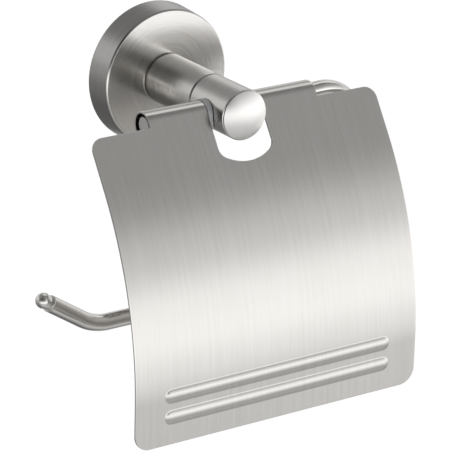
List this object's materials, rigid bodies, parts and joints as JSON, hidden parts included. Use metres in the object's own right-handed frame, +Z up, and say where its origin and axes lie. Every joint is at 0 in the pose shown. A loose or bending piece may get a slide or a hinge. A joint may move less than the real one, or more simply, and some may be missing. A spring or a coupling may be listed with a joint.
{
  "type": "toilet paper holder",
  "caption": "Wall-mounted toilet paper holder: round base, short post, bent wire roll arm and a curved sheet cover that hinges on the wire.",
  "frame": {"origin": "centre of the round base on the wall, which is the plane y = 0", "axes": "+Z up, +Y into the wall, so the post leaves the wall along -Y; +X to the right for someone facing the wall"},
  "size_m": [0.1457, 0.0913, 0.1388],
  "materials": {
    "brushed_steel": "fine brushed, satin",
    "wire_steel": "satin, smoother than the sheet",
    "zinc_plate": "zinc plated",
    "dark_steel": "oiled screw steel",
    "nylon": "translucent grey, matte"
  },
  "bodies": {
    "holder": {"wall_bracket": "zinc_plate", "rosette": "brushed_steel", "rosette_grub_screw": "dark_steel", "post_bolt": "dark_steel", "post_bolt_washer": "zinc_plate", "post_neck": "brushed_steel", "post_head": "brushed_steel", "head_cap": "brushed_steel", "head_grub_screw": "dark_steel", "holder_arm": "wire_steel", "arm_end_button": "wire_steel", "bush_left": "nylon", "bush_right": "nylon"},
    "cover": {"cover_flap": "brushed_steel"}
  },
  "joints": [
    {"name": "cover_hinge", "type": "hinge", "parent": "holder", "child": "cover", "pos_m": [0, -0.0523, -0.0011], "axis": [-1, 0, 0], "range_deg": [-25, 185]}
  ]
}
